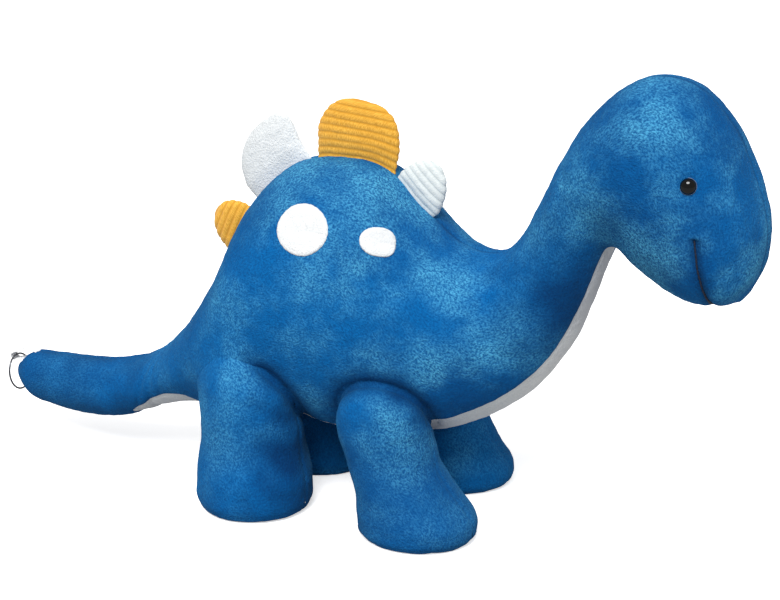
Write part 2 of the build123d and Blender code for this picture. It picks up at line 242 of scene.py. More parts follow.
def dip(distance, width):
    """A soft groove, exp(-(d/w)²)."""
    return np.exp(-((distance / width) ** 2))


# %% [markdown]
# ## Tools for pieces
#
# `panel` cuts some blocks out of a grid and gives them a plain back and an edge all round, so each panel is a
# closed piece of cloth. `closed` zips a whole grid up into one closed form.

# %% Piece tools


def add_piece(name, points, faces, uv, material, normals=None, painted_shade=None):
    """A mesh object from points, faces and one map place for each face corner.

    Where the last argument is given, it says for each point how much darker the pile is painted, mostly as shade in
    creases.
    """
    mesh = bpy.data.meshes.new(name)
    mesh.from_pydata(points.tolist(), [], faces)
    layer = mesh.uv_layers.new(name="cloth")
    layer.data.foreach_set("uv", np.asarray(uv, np.float32).ravel())
    mesh.shade_smooth()
    if painted_shade is not None:
        mesh.attributes.new("painted_shade", "FLOAT", "POINT").data.foreach_set("value", painted_shade.astype(np.float32))
    if normals is not None:
        mesh.normals_split_custom_set_from_vertices(normals.tolist())
    mesh.materials.append(material)
    piece = bpy.data.objects.new(name, mesh)
    bpy.context.collection.objects.link(piece)
    return piece


def quads(number):
    """The corners of each face between neighbouring grid points, outside up."""
    return np.stack([number[:-1, :-1], number[:-1, 1:], number[1:, 1:], number[1:, :-1]], -1)


def panel(name, outer, inner, facing, places, blocks, material, painted_shade):
    """A closed piece of cloth: the chosen blocks of the fine outer grid, a coarse inner wall and a rim."""
    rows, columns = outer.shape[:2]
    fine = np.arange(rows * columns).reshape(rows, columns)
    back = rows * columns + np.arange(inner.shape[0] * inner.shape[1]).reshape(inner.shape[:2])
    front_faces = quads(fine)[np.kron(blocks, np.ones((BLOCK, BLOCK), int)).astype(bool)]
    back_faces = quads(back)[blocks][:, ::-1]
    chosen = np.pad(blocks, 1)
    rims = []
    for i, j in zip(*np.nonzero(blocks)):
        r, c = slice(BLOCK * i, BLOCK * i + BLOCK + 1), slice(BLOCK * j, BLOCK * j + BLOCK + 1)
        if not chosen[i + 1, j]:
            rims.append([*fine[r, BLOCK * j], back[i + 1, j], back[i, j]])
        if not chosen[i + 1, j + 2]:
            rims.append([*fine[r, BLOCK * (j + 1)][::-1], back[i, j + 1], back[i + 1, j + 1]])
        if not chosen[i, j + 1]:
            rims.append([*fine[BLOCK * i, c][::-1], back[i, j], back[i, j + 1]])
        if not chosen[i + 2, j + 1]:
            rims.append([*fine[BLOCK * (i + 1), c], back[i + 1, j + 1], back[i + 1, j]])
    points = np.concatenate([outer.reshape(-1, 3), inner.reshape(-1, 3)])
    normal = np.concatenate([facing.reshape(-1, 3), -facing[::BLOCK, ::BLOCK].reshape(-1, 3)])
    place = np.concatenate([places.reshape(-1, 2), places[::BLOCK, ::BLOCK].reshape(-1, 2)])
    # The painted shade of each point, for the front and the back.
    flat = np.concatenate([painted_shade.ravel(), painted_shade[::BLOCK, ::BLOCK].ravel()])
    rim = np.array(rims)
    corner = np.concatenate([front_faces.ravel(), back_faces.ravel(), rim.ravel()])
    used, new = np.unique(corner, return_inverse=True)
    cut = np.cumsum([front_faces.size, back_faces.size])
    front, rear, edge = np.split(new, cut)
    faces = front.reshape(-1, 4).tolist() + rear.reshape(-1, 4).tolist() + edge.reshape(rim.shape).tolist()
    return add_piece(name, points[used], faces, place[corner], material, normal[used], flat[used])


def closed(name, grid, material, caps=False, place=None):
    """One closed form from a whole grid, with each end zipped to a line.

    caps adds those lines where the grid has none.
    """
    place = lengths_of(grid) if place is None else place
    if caps:
        ends = [grid[:1].copy(), grid[-1:].copy()]
        for end in ends:
            end[..., 1] = end[:, :-1, 1].mean()
        grid = np.concatenate([ends[0], grid, ends[1]])
        place = np.concatenate([place[:1], place, place[-1:]])
    flat = grid.reshape(-1, 3)
    _, first, same = np.unique(np.round(flat, 7), axis=0, return_index=True, return_inverse=True)
    same = same.ravel()
    corner = quads(np.arange(len(flat)).reshape(grid.shape[:2])).reshape(-1, 4)
    face = same[corner]
    new = face != np.roll(face, 1, 1)
    kept = {n: new.sum(1) == n for n in (4, 3)}
    faces = sum((face[kept[n]][new[kept[n]]].reshape(-1, n).tolist() for n in kept), [])
    uv = np.concatenate([place.reshape(-1, 2)[corner[kept[n]][new[kept[n]]]] for n in kept])
    return add_piece(name, flat[first], faces, uv, material)


def swept(name, path, radius, material, count=12):
    """A round cord along a path, with closed ends; radius is one number or one for each point."""
    path = np.asarray(path, float)
    ahead = np.gradient(path, axis=0)
    ahead /= np.linalg.norm(ahead, axis=1, keepdims=True)
    side = np.cross(ahead, (0.31, 0.17, 0.93))
    side /= np.linalg.norm(side, axis=1, keepdims=True)
    other = np.cross(ahead, side)
    turn = np.linspace(0, 2 * np.pi, count + 1)[None, :, None]
    reach = np.broadcast_to(radius, len(path))[:, None, None]
    grid = path[:, None] + reach * (np.cos(turn) * side[:, None] - np.sin(turn) * other[:, None])
    tips = [np.repeat(path[k : k + 1, None], count + 1, 1) for k in (0, -1)]
    return closed(name, np.concatenate([tips[0], grid, tips[1]])[:, ::-1], material)


def standing_for(piece, body, slot, fill, *nodes):
    """Rides the piece on its body, or bakes its place into the mesh, and hides the CAD nodes it stands for; slot is
    not used.
    """
    if isinstance(body, str):
        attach(piece, body)
    else:
        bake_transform(piece)
    if nodes:
        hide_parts(*nodes)
    return piece


# %% [markdown]
# ## Materials
#
# A node group holds what the two plush cloths share: short flecks lying along the pile, patches where the
# pile is brushed the other way, which the cloth paints lighter as a painted sheen, the height of the tufts, and
# the painted shade each piece carries in its creases. The cloth itself is a Principled shader that mixes its
# colours by these masks.

# %% Node tools


def node(tree, kind, settings=None, **values):
    """Adds a node, sets its options, and gives each input a number, a colour or a link."""
    made = tree.nodes.new(kind)
    for name, value in (settings or {}).items():
        setattr(made, name, value)
    for name, value in values.items():
        key = int(name[1:]) if name[0] == "_" and name[1:].isdigit() else name.replace("_", " ")
        if isinstance(value, bpy.types.NodeSocket):
            tree.links.new(value, made.inputs[key])
        else:
            made.inputs[key].default_value = value
    return made


def maths(tree, operation, a, b=0.0, clamp=False):
    """One sum on two values."""
    return node(tree, "ShaderNodeMath", {"operation": operation, "use_clamp": clamp}, _0=a, _1=b).outputs[0]


def blended(tree, factor, a, b, way="MIX"):
    """Two colours mixed by a factor."""
    made = tree.nodes.new("ShaderNodeMix")
    made.data_type, made.blend_type = "RGBA", way
    for key, value in ((0, factor), (6, a), (7, b)):
        if isinstance(value, bpy.types.NodeSocket):
            tree.links.new(value, made.inputs[key])
        else:
            made.inputs[key].default_value = value
    return made.outputs[2]


def ramp(tree, value, low, high):
    """0 below low, 1 above high and smooth between."""
    made = node(tree, "ShaderNodeMapRange", {"interpolation_type": "SMOOTHSTEP"}, Value=value)
    made.inputs["From Min"].default_value, made.inputs["From Max"].default_value = low, high
    return made.outputs[0]


def noise_node(tree, vector, scale, detail=2.0, roughness=0.5):
    """A noise texture's value."""
    made = node(tree, "ShaderNodeTexNoise", Vector=vector, Scale=scale, Detail=detail, Roughness=roughness)
    return made.outputs[0]


def new_material(name):
    """An empty material with its output; returns it, its tree and its output."""
    material = bpy.data.materials.new(name)
    material.use_nodes = True
    tree = material.node_tree
    tree.nodes.clear()
    return material, tree, tree.nodes.new("ShaderNodeOutputMaterial")


def srgb(r, g, b):
    """A colour given as 0 to 255 on a screen, as the linear light a shader needs."""
    c = np.array([r, g, b]) / 255
    linear = np.where(c <= 0.04045, c / 12.92, ((c + 0.055) / 1.055) ** 2.4)
    return (*linear.tolist(), 1.0)


# %% Plush group
pile = bpy.data.node_groups.new("pile", "ShaderNodeTree")
for label in ("Fleck", "Brushed", "Worn", "Height", "Pressed"):
    pile.interface.new_socket(label, in_out="OUTPUT", socket_type="NodeSocketFloat")
cloth_map = node(pile, "ShaderNodeUVMap", {"uv_map": "cloth"}).outputs[0]
place = node(pile, "ShaderNodeTexCoord").outputs["Object"]
warp = node(pile, "ShaderNodeTexNoise", Vector=place, Scale=60.0, Detail=2.0)
sway = {"operation": "MULTIPLY_ADD"}
bent = node(pile, "ShaderNodeVectorMath", sway, _0=warp.outputs[1], _1=(0.012, 0.012, 0.0), _2=cloth_map)
strokes = node(pile, "ShaderNodeMapping", Vector=bent.outputs[0], Scale=(560.0, 1150.0, 1.0)).outputs[0]
fleck = noise_node(pile, strokes, 1.0, 3.0, 0.62)
tuft = noise_node(pile, place, 760.0, 2.0, 0.6)
# Patches where the pile is brushed the other way; the cloth paints them lighter, as a painted sheen.
brushed_sheen = noise_node(pile, place, 26.0, 3.0, 0.55)
broad = noise_node(pile, place, 9.0, 2.0, 0.5)
where = node(pile, "ShaderNodeSeparateXYZ", Vector=place).outputs
# The painted sheen fades towards the tail and towards the floor.
sheen_front_and_top = maths(pile, "MULTIPLY", ramp(pile, where[0], -0.2, 0.03), ramp(pile, where[2], 0.0, 0.13))
shown = maths(pile, "ADD", 0.3, maths(pile, "MULTIPLY", sheen_front_and_top, 0.7))
height = maths(pile, "ADD", maths(pile, "MULTIPLY", fleck, 0.6), maths(pile, "MULTIPLY", tuft, 0.8))
both = maths(pile, "ADD", maths(pile, "MULTIPLY", fleck, 0.5), maths(pile, "MULTIPLY", tuft, 0.5))
# The painted shade that each piece carries as its own attribute.
painted_shade = node(pile, "ShaderNodeAttribute", {"attribute_name": "painted_shade"}).outputs["Fac"]
out = pile.nodes.new("NodeGroupOutput")
for label, value in (
    ("Fleck", ramp(pile, both, 0.38, 0.62)),
    ("Brushed", maths(pile, "MULTIPLY", ramp(pile, brushed_sheen, 0.36, 0.72), shown)),
    ("Worn", ramp(pile, broad, 0.36, 0.66)),
    ("Height", height),
    ("Pressed", painted_shade),
):
    pile.links.new(value, out.inputs[label])


def plush(name, deep, body, tip, sheen, painted_sheen, shade):
    """Short-pile cloth: deep is painted as shade between the tufts and in creases, tip as a painted sheen where the
    pile catches the light.
    """
    material, tree, output = new_material(name)
    masks = node(tree, "ShaderNodeGroup", {"node_tree": pile}).outputs
    worn = blended(tree, maths(tree, "MULTIPLY", masks["Worn"], 0.55), body, deep)
    # Painted sheen: the brushed patches mix in the lighter tip colour, except where shade is painted.
    standing = maths(tree, "MULTIPLY", masks["Brushed"], maths(tree, "SUBTRACT", 1.0, masks["Pressed"]))
    lighter = maths(tree, "ADD", 0.22, maths(tree, "MULTIPLY", masks["Fleck"], 0.78))
    amount = maths(tree, "MULTIPLY", maths(tree, "MULTIPLY", standing, lighter), painted_sheen)
    sheen_painted_cloth = blended(tree, amount, worn, tip)
    # Painted shade between the tufts.
    gaps = maths(tree, "MULTIPLY", maths(tree, "SUBTRACT", 1.0, masks["Fleck"]), shade)
    colour = blended(tree, gaps, sheen_painted_cloth, deep)
    # Painted shade in creases: a colour darker than deep, mixed in by the attribute.
    painted_shade_colour = (deep[0] * 0.35, deep[1] * 0.35, deep[2] * 0.45, 1.0)
    colour = blended(tree, maths(tree, "MULTIPLY", masks["Pressed"], shade * 1.3), colour, painted_shade_colour)
    bump = node(tree, "ShaderNodeBump", Strength=0.75, Distance=0.0012, Height=masks["Height"]).outputs[0]
    shader = node(
        tree,
        "ShaderNodeBsdfPrincipled",
        Base_Color=colour,
        Roughness=0.92,
        Specular_IOR_Level=0.12,
        Sheen_Weight=sheen,
        Sheen_Roughness=0.45,
        Sheen_Tint=tip,
        Normal=bump,
    )
    tree.links.new(shader.outputs[0], output.inputs[0])
    return material


blue_plush = plush("blue_plush", srgb(0, 56, 112), srgb(3, 102, 170), srgb(88, 178, 218), 0.12, 0.86, 0.52)
white_plush = plush("white_plush", srgb(208, 214, 216), srgb(240, 242, 243), srgb(255, 255, 255), 0.1, 0.5, 0.35)
white_felt = plush("white_felt", srgb(222, 226, 228), srgb(236, 238, 239), srgb(246, 248, 248), 0.1, 0.5, 0.3)

# %% [markdown]
# The other finishes are simpler. Corduroy's ribs are in the mesh, because they show at a plate's edge, and its
# material paints shade into the valleys between them and adds what is too fine to model. Filling, ribbon, thread,
# steel and plastic are one noise each.

# %% Other materials
def simple(name, dark, light, scale, roughness, bump_depth, **extra):
    """A material whose colour and height follow one noise."""
    material, tree, output = new_material(name)
    where = node(tree, "ShaderNodeTexCoord").outputs["Object"]
    grain = noise_node(tree, where, scale, 4.0, 0.6)
    colour = blended(tree, ramp(tree, grain, 0.3, 0.7), dark, light)
    bump = node(tree, "ShaderNodeBump", Strength=0.5, Distance=bump_depth, Height=grain).outputs[0]
    shader = node(tree, "ShaderNodeBsdfPrincipled", Base_Color=colour, Roughness=roughness, Normal=bump, **extra)
    tree.links.new(shader.outputs[0], output.inputs[0])
    return material


def corduroy(name, dark, light, pitch):
    """Ribbed cloth: the mesh has the ribs, and this paints shade into the valleys and adds the twisted pile on each
    rib.
    """
    material, tree, output = new_material(name)
    where = node(tree, "ShaderNodeUVMap", {"uv_map": "cloth"}).outputs[0]
    up = node(tree, "ShaderNodeSeparateXYZ", Vector=where).outputs[0]
    wave = maths(tree, "COSINE", maths(tree, "MULTIPLY", up, 2 * np.pi / pitch))
    # Painted shade in the valleys between the ribs.
    valley_shade = ramp(tree, wave, -0.2, -0.95)
    place = node(tree, "ShaderNodeTexCoord").outputs["Object"]
    twist = node(tree, "ShaderNodeMapping", Vector=where, Scale=(500.0, 1500.0, 1.0)).outputs[0]
    threads = noise_node(tree, twist, 1.0, 3.0, 0.6)
    blotch = noise_node(tree, place, 70.0, 2.0, 0.5)
    mixed = blended(tree, ramp(tree, threads, 0.3, 0.7), dark, light)
    mixed = blended(tree, maths(tree, "MULTIPLY", ramp(tree, blotch, 0.35, 0.65), 0.25), mixed, dark)
    colour = blended(tree, maths(tree, "MULTIPLY", valley_shade, 0.75), mixed, dark)
    bump = node(tree, "ShaderNodeBump", Strength=0.6, Distance=0.0005, Height=threads).outputs[0]
    finish = {"Roughness": 0.85, "Sheen_Weight": 0.3, "Specular_IOR_Level": 0.2}
    shader = node(tree, "ShaderNodeBsdfPrincipled", Base_Color=colour, Normal=bump, **finish)
    tree.links.new(shader.outputs[0], output.inputs[0])
    return material


RIB = 0.0043
mustard_corduroy = corduroy("mustard_corduroy", srgb(206, 146, 38), srgb(252, 194, 80), RIB)
white_corduroy = corduroy("white_corduroy", srgb(206, 214, 214), srgb(236, 240, 238), RIB)
filling = simple("filling", srgb(225, 225, 222), srgb(250, 250, 248), 180.0, 0.95, 0.002)
ribbon_cloth = simple("ribbon_cloth", srgb(222, 224, 226), srgb(250, 250, 250), 900.0, 0.6, 0.0003)
dark_thread = simple("dark_thread", srgb(8, 16, 34), srgb(20, 34, 62), 900.0, 0.7, 0.0004)
steel = simple("steel", srgb(96, 98, 102), srgb(140, 142, 146), 400.0, 0.32, 0.0001, Metallic=1.0)
eye_plastic = simple("eye_plastic", srgb(3, 3, 4), srgb(8, 7, 7), 30.0, 0.05, 0.00002, Specular_IOR_Level=0.45)
eye_rim = simple("eye_rim", srgb(70, 82, 108), srgb(112, 124, 148), 300.0, 0.45, 0.0002)
washer_plastic = simple("washer_plastic", srgb(170, 172, 176), srgb(205, 206, 210), 120.0, 0.45, 0.0002)

# %% [markdown]
# ## The body tube
#
# The grid is denser than the pile's tufts are wide. Its columns bunch so that the white strip's edge runs along
# one column. Then each point moves along its normal: out and in with soft lumps, and in at seams, at
# the mouth and round the eye.

# %% Body grid
STEPS = (96, 236, 208)
SIDE, STRIP = 168, 20
CLOTH, SLACK = 3.2, 2.5  # the panels' thickness, and the room between them and the filling


def body_angles(sections):
    """Angle round from the back for each column: the side panel, both halves of the strip, the other panel."""
    ratio = np.clip(sections[:, 5] / np.maximum(sections[:, 4], 0.1), 0.02, 0.88)
    edge = (np.pi - np.arcsin(ratio))[:, None]
    side = np.linspace(0, 1, SIDE + 1)[None] * edge
    strip = edge + (np.pi - edge) * np.linspace(0, 1, STRIP + 1)[None, 1:]
    right = np.concatenate([side, strip], 1)
    return np.concatenate([right, 2 * np.pi - right[:, -2::-1]], 1)


body_table = np.array(BODY)
sections = evenly(body_table, (0, TAIL_ROOT, NECK_ROOT, len(BODY) - 1), STEPS)
angles = body_angles(sections)
smooth = tube(sections, angles)
facing = normals_of(smooth)
cloth = lengths_of(smooth)
tail_end, torso_end, head_end = np.cumsum(STEPS)
print("body grid:", smooth.shape[0], "by", smooth.shape[1])


# %% [markdown]
# A leg is a tube as well, so its sections go in the same form: front point, back point, half width. `leg_room`
# measures how far a point is from a leg, which the body needs for the crease where the leg is sewn on.

# %% Leg sections
def leg_sections(sections, hip, foot, inset=0.0):
    """The leg's rows from the thigh's round top to the middle of its sole."""
    hip_x, hip_y, hip_z = hip
    thigh = sections[0][2] - inset
    rows = [(hip_x + thigh * 0.12, hip_z + thigh, hip_x - thigh * 0.12, hip_z + thigh, 0.0, hip_y)]
    for rise in np.radians([72, 54, 36, 18]):
        a, z = thigh * np.cos(rise), hip_z + thigh * np.sin(rise)
        rows.append((hip_x + a, z, hip_x - a, z, a, hip_y))
    for drop, lean, along, across in sections:
        x, y = hip_x + (foot[0] - hip_x) * lean, hip_y + (foot[1] - hip_y) * lean
        z = max(hip_z * (1 - drop), inset)
        rows.append((x + along - inset, z, x - along + inset, z, across - inset, y))
    for share in (0.72, 0.42):
        rows.append((x + along * share, inset, x - along * share, inset, across * share, y))
    rows.append((x + along * 0.3, inset, x - along * 0.3, inset, 0.0, y))
    return np.array(rows)


def leg_room(points, sections, hip, foot):
    """Signed distance to a leg: (sqrt((dx/a)² + (dy/b)²) - 1) (a+b)/2 at each height, a ball above the hip."""
    p = points * 1000
    hip_x, hip_y, hip_z = hip
    drop = np.array([s[0] for s in sections])
    at = np.clip((hip_z - p[..., 2]) / hip_z, 0, 1)
    lean, a, b = (np.interp(at, drop, [s[k] for s in sections]) for k in (1, 2, 3))
    dx = p[..., 0] - hip_x - (foot[0] - hip_x) * lean
    dy = p[..., 1] - hip_y - (foot[1] - hip_y) * lean
    below = (np.sqrt((dx / a) ** 2 + (dy / b) ** 2) - 1) * (a + b) / 2
    ball = np.sqrt(dx**2 + dy**2 + (p[..., 2] - hip_z) ** 2) - sections[0][2]
    return np.where(p[..., 2] > hip_z, ball, below)


def body_room(points):
    """Signed distance to the body, near enough: (sqrt((dz/half)² + (y/width)²) - 1) width at each x."""
    p = points * 1000
    middle_x = (sections[:, 0] + sections[:, 2]) / 2
    rows = slice(tail_end // 2, torso_end)
    middle, half, width = (
        np.interp(p[..., 0], middle_x[rows], v[rows])
        for v in ((sections[:, 1] + sections[:, 3]) / 2, (sections[:, 1] - sections[:, 3]) / 2, sections[:, 4])
    )
    return (np.sqrt(((p[..., 2] - middle) / half) ** 2 + (p[..., 1] / width) ** 2) - 1) * width


# %% [markdown]
# A sewn toy is never smooth: the filling makes lumps, and seams pull in. A cloth simulation could find this, but a
# toy sewn tight over its filling hardly sags, so each effect is written as its own distance and depth.

# %% Move the body's points
def soft(points, seed, firmness=1.0):
    """Lumps of stuffing, large to small, in millimetres."""
    total = 1.1 * noise(points, 0.052, seed) + 0.5 * noise(points, 0.019, seed + 1)
    return (total + 0.2 * noise(points, 0.0075, seed + 2)) * firmness + 0.2 * noise(points, 0.0034, seed + 3)


def merging(points):
    """How far a hind leg runs into the body without a crease: 1 at its back and top, 0 at its front."""
    t = np.clip((-30 - points[..., 0] * 1000) / 26, 0, 1)
    return t * t * (3 - 2 * t)


def fillet(gap, reach=24.0):
    """The rise that rounds the corner between two skins, (r-|gap|)² / 4r within reach of their meeting line."""
    return np.maximum(reach - np.abs(gap), 0) ** 2 / (4 * reach)


from_ridge = np.minimum(cloth[..., 1], cloth[:, -1:, 1] - cloth[..., 1]) * 1000
from_strip = from_ridge - cloth[:, SIDE, 1][:, None] * 1000
row_number = np.arange(len(smooth))[:, None]

STRIP_FROM, STRIP_TO = -164.0, 187.0  # the white strip runs from under the tail's root to under the jaw
THROAT = torso_end + BLOCK * round(int(np.argmax(sections[torso_end:, 2] > STRIP_TO)) / BLOCK)
TAIL_STRIP = tail_end - BLOCK * round((tail_end - int(np.argmax(sections[:, 2] > STRIP_FROM))) / BLOCK)
strip_rows = (row_number >= TAIL_STRIP) & (row_number <= THROAT)

side_x, side_z = smooth[..., 0] * 1000, smooth[..., 2] * 1000
mouth_z, mouth_x = np.array(MOUTH)[::-1, 1], np.array(MOUTH)[::-1, 0]
from_mouth = np.abs(side_x - np.interp(side_z, mouth_z, mouth_x)) + 4 * np.maximum(side_z - mouth_z[-1], 0)
from_eye = np.hypot(side_x - EYE[0], side_z - EYE[1])
leg_gaps = {name: leg_room(smooth, *leg) for name, leg in LEGS.items()}

# Seams, the mouth, the eye and the creases at the tail's root go in; the flank swells onto the hind legs.
push = soft(smooth, 11)
push -= 0.7 * dip(from_ridge, 2.2)
push -= np.where(strip_rows, dip(from_strip, 1.6) + 0.9 * (from_strip > 0), 0)
push -= np.where(row_number > torso_end, 2.2 * dip(from_mouth, 2.4) + 1.6 * dip(from_eye, 6.5), 0)
for where, tilt, depth in ((-141, 0.18, 1.5), (-150, 0.3, 1.2), (-163, 0.05, 0.9)):
    crease = side_x - where - tilt * (side_z - 60) - 2.5 * noise(smooth, 0.03, 71)
    push -= depth * dip(crease, 2.6) * np.clip(0.5 + noise(smooth, 0.04, 72 + int(-where)), 0, 1)
for name, gap in leg_gaps.items():
    merged = merging(smooth) if name.startswith("rear") else 0
    push += fillet(gap) * merged
    push -= (2.0 * dip(np.maximum(gap, 0), 7.0) + 1.6 * dip(gap, 2.4)) * (1 - merged)

# The pile is painted darker as shade along the seams, the mouth and the creases by the legs, and under the jaw
# where the head shades the neck; towards the tail's end it is only painted darker.
painted_shade = 0.8 * dip(from_mouth, 4.5) * (row_number > torso_end) + 0.5 * dip(from_ridge, 1.5)
painted_shade = np.maximum(painted_shade, 0.95 * dip(np.hypot(side_x - 158, (side_z - 162) / 1.3), 34))
painted_shade = np.maximum(painted_shade, 0.4 * np.clip((-125 - side_x) / 40, 0, 1))
for name, gap in leg_gaps.items():
    merged = merging(smooth) if name.startswith("rear") else 0
    painted_shade = np.maximum(painted_shade, 0.85 * dip(np.maximum(gap, 0), 9.0) * (1 - merged))
painted_shade = np.clip(painted_shade + 0.25 * noise(smooth, 0.012, 91) * (painted_shade > 0.05), 0, 1)
ends = np.minimum(row_number, len(smooth) - 1 - row_number)
push *= np.clip(ends / 6, 0, 1)
outer = smooth + facing * push[..., None] / 1000
outer[[0, -1], :, 1] = 0
outer[:, [0, -1], 1] = 0
fine_facing = normals_of(outer)

# The plain back of each panel is the same tube, one cloth and a thin quilting further in.
inset_sections = sections[::BLOCK].copy()
up = inset_sections[:, 0:2] - inset_sections[:, 2:4]
up /= np.linalg.norm(up, axis=1, keepdims=True)
inset_sections[:, 0:2] -= CLOTH * up
inset_sections[:, 2:4] += CLOTH * up
inset_sections[:, 4] = np.maximum(inset_sections[:, 4] - CLOTH, 0)
inner = tube(inset_sections, angles[::BLOCK, ::BLOCK])

# %% [markdown]
# ## Cut the body into its panels
#
# The tail bends at its root and the neck at its root, so the body is cut into tail, torso and head panels there.
# Blocks of the torso that lie deep inside a leg are left out, as the leg's opening is in the real skin.

# %% Body panels
rows_b, cols_b = (outer.shape[0] - 1) // BLOCK, (outer.shape[1] - 1) // BLOCK
row_b, col_b = np.arange(rows_b)[:, None] * BLOCK, np.arange(cols_b)[None] * BLOCK
in_tail, in_torso, in_head = row_b < tail_end, (row_b >= tail_end) & (row_b < torso_end), row_b >= torso_end
in_strip = (col_b >= SIDE) & (col_b < SIDE + 2 * STRIP) & (row_b >= TAIL_STRIP) & (row_b < THROAT)
on_right = col_b < SIDE + STRIP
corner_gap = np.min(list(leg_gaps.values()), axis=0)[::BLOCK, ::BLOCK]
corners = corner_gap[:-1, :-1], corner_gap[1:, :-1], corner_gap[:-1, 1:], corner_gap[1:, 1:]
deep = np.maximum.reduce(corners) < -5
TO_HEAD = ("torso", "head", NECK_HINGE, (0.187, 0.0, 0.1757))
TO_TAIL = ("torso", "tail", TAIL_HINGE, (-0.182, 0.0, 0.0675))
PARTS = (("tail", in_tail, TO_TAIL), ("torso", in_torso, "torso"), ("head", in_head, TO_HEAD))
for part, rows_in, body in PARTS:
    for side, columns_in in (("right", on_right), ("left", ~on_right)):
        blocks = rows_in & columns_in & ~in_strip & ~deep
        piece = panel(f"{part}_panel_{side}", outer, inner, fine_facing, cloth, blocks, blue_plush, painted_shade)
        standing_for(piece, body, "blue_plush", 0.8, f"{part}_panel_{side}")
for name, (_, rows_in, body) in zip(("tail_strip", "belly_gusset", "throat_gusset"), PARTS):
    piece = panel(name, outer, inner, fine_facing, cloth, in_strip & rows_in & ~deep, white_plush, painted_shade)
    standing_for(piece, body, "white_plush", 0.8, *([name] if "gusset" in name else []))
print("white strip from row", TAIL_STRIP, "to row", THROAT)

# %% [markdown]
# The filling is one loose core in each part of the body.

# %% Stuffing of the body
for part, first, last, body in (
    ("tail", 2, tail_end // BLOCK, TO_TAIL),
    ("torso", tail_end // BLOCK, torso_end // BLOCK, "torso"),
    ("head", torso_end // BLOCK, rows_b - 2, TO_HEAD),
):
    core = inset_sections[first : last + 1].copy()
    core_up = up[first : last + 1]
    core[:, 0:2] -= SLACK * core_up
    core[:, 2:4] += SLACK * core_up
    core[:, 4] = np.maximum(core[:, 4] - SLACK, 0.5)
    grid = tube(core, angles[:: BLOCK, :: 2 * BLOCK][first : last + 1])
    standing_for(closed(f"{part}_stuffing", grid, filling, caps=True), body, "stuffing", 0.8, f"{part}_stuffing")

# %% [markdown]
# ## Legs
#
# Each leg is a tube with an outer and an inner panel. Near the flank its points move in, to make the other
# side of the sewn crease, and no point goes below the floor.

# %% Legs
LEG_STEPS, LEG_ROUND = 120, 176
LEG_CLOTH = 3.0  # how far the lining lies inside the skin, and the filling inside the lining
around = np.linspace(0, 2 * np.pi, LEG_ROUND + 1)[None]
for number, (name, leg) in enumerate(LEGS.items()):
    rows = evenly(leg_sections(*leg), (0, len(leg[0]) + 7), (LEG_STEPS,))
    shape = tube(rows, around, rows[:, 5])
    normal = normals_of(shape)
    merged = merging(shape) if name.startswith("rear") else 0
    gap = body_room(shape)
    move = soft(shape, 40 + 10 * number, 0.9) + fillet(gap) * merged
    move -= (1.4 * dip(gap - 1.0, 6.0) + 1.6 * dip(gap, 2.2)) * (1 - merged)
    if name.startswith("front"):
        fold = shape[..., 2] * 1000 - 57 - 0.12 * shape[..., 0] * 1000 + 4 * noise(shape, 0.03, 5)
        share = np.clip(0.35 + 0.65 * noise(shape, 0.024, 6), 0, 1)
        move += (0.8 * dip(fold - 5, 5.0) - 0.6 * dip(fold, 4.0)) * share
    move -= 0.6 * (dip(np.sin(around / 2) * 90, 2.0) + dip(np.cos(around / 2) * 90, 2.0))
    # Painted shade where the leg meets the body, and over the wrinkled front of a hind leg, deepest in the
    # wrinkles' valleys.
    painted_shade = 0.85 * dip(np.maximum(gap, 0), 9.0) * (1 - merged)
    if name.startswith("rear"):
        ahead_of_hip = shape[..., 0] * 1000 - leg[1][0]
        wrinkle = np.sin((shape[..., 2] * 1000 + 0.9 * ahead_of_hip) / 4.2 + 2.5 * noise(shape, 0.03, 61))
        where = dip(ahead_of_hip - 36, 18) * dip(shape[..., 2] * 1000 - 50, 34)
        move += 0.55 * wrinkle * where
        painted_shade = np.maximum(painted_shade, where * (0.85 - 0.3 * wrinkle))
    painted_shade = np.clip(painted_shade + 0.25 * noise(shape, 0.012, 92) * (painted_shade > 0.05), 0, 1)
    far = np.minimum(np.arange(LEG_STEPS + 1), LEG_STEPS - np.arange(LEG_STEPS + 1))[:, None]
    move *= np.clip(far / 5, 0, 1)
    skin = shape + normal * move[..., None] / 1000
    skin[[0, -1], :, 1] = rows[[0, -1], 5][:, None] / 1000
    skin[..., 2] = np.maximum(skin[..., 2], 0)
    lining_rows = evenly(leg_sections(*leg, LEG_CLOTH), (0, len(leg[0]) + 7), (LEG_STEPS // BLOCK,))
    lining = tube(lining_rows, around[:, ::BLOCK], lining_rows[:, 5])
    facing_out = normals_of(skin)
    half = LEG_ROUND // BLOCK // 2
    first_half = np.arange(2 * half)[None] < half
    everywhere = np.ones((LEG_STEPS // BLOCK, 1), bool)
    outside = first_half if leg[1][1] < 0 else ~first_half
    for label, columns_in in (("outer", outside), ("inner", ~outside)):
        node_name = f"leg_{name}_{label}_panel"
        blocks = everywhere & columns_in
        piece = panel(node_name, skin, lining, facing_out, lengths_of(skin), blocks, blue_plush, painted_shade)
        standing_for(piece, f"leg_{name}", "blue_plush", 0.8, node_name)
    core_rows = evenly(leg_sections(*leg, 2 * LEG_CLOTH), (0, len(leg[0]) + 7), (24,))
    core = tube(core_rows, around[:, ::8], core_rows[:, 5])
    core_piece = closed(f"leg_{name}_stuffing", core, filling)
    standing_for(core_piece, f"leg_{name}", "stuffing", 0.8, f"leg_{name}_stuffing")

# %% [markdown]
# ## Back plates
#
# A plate is a flat padded tab sewn into the seam along the back. It is a tube too, standing up: each row is
# one height, and the last one is zipped shut at its top edge.

# %% Plates
PLATE_THICKNESS = 9.0
ridge_x, ridge_z = smooth[:, 0, 0], outer[:, 0, 2]


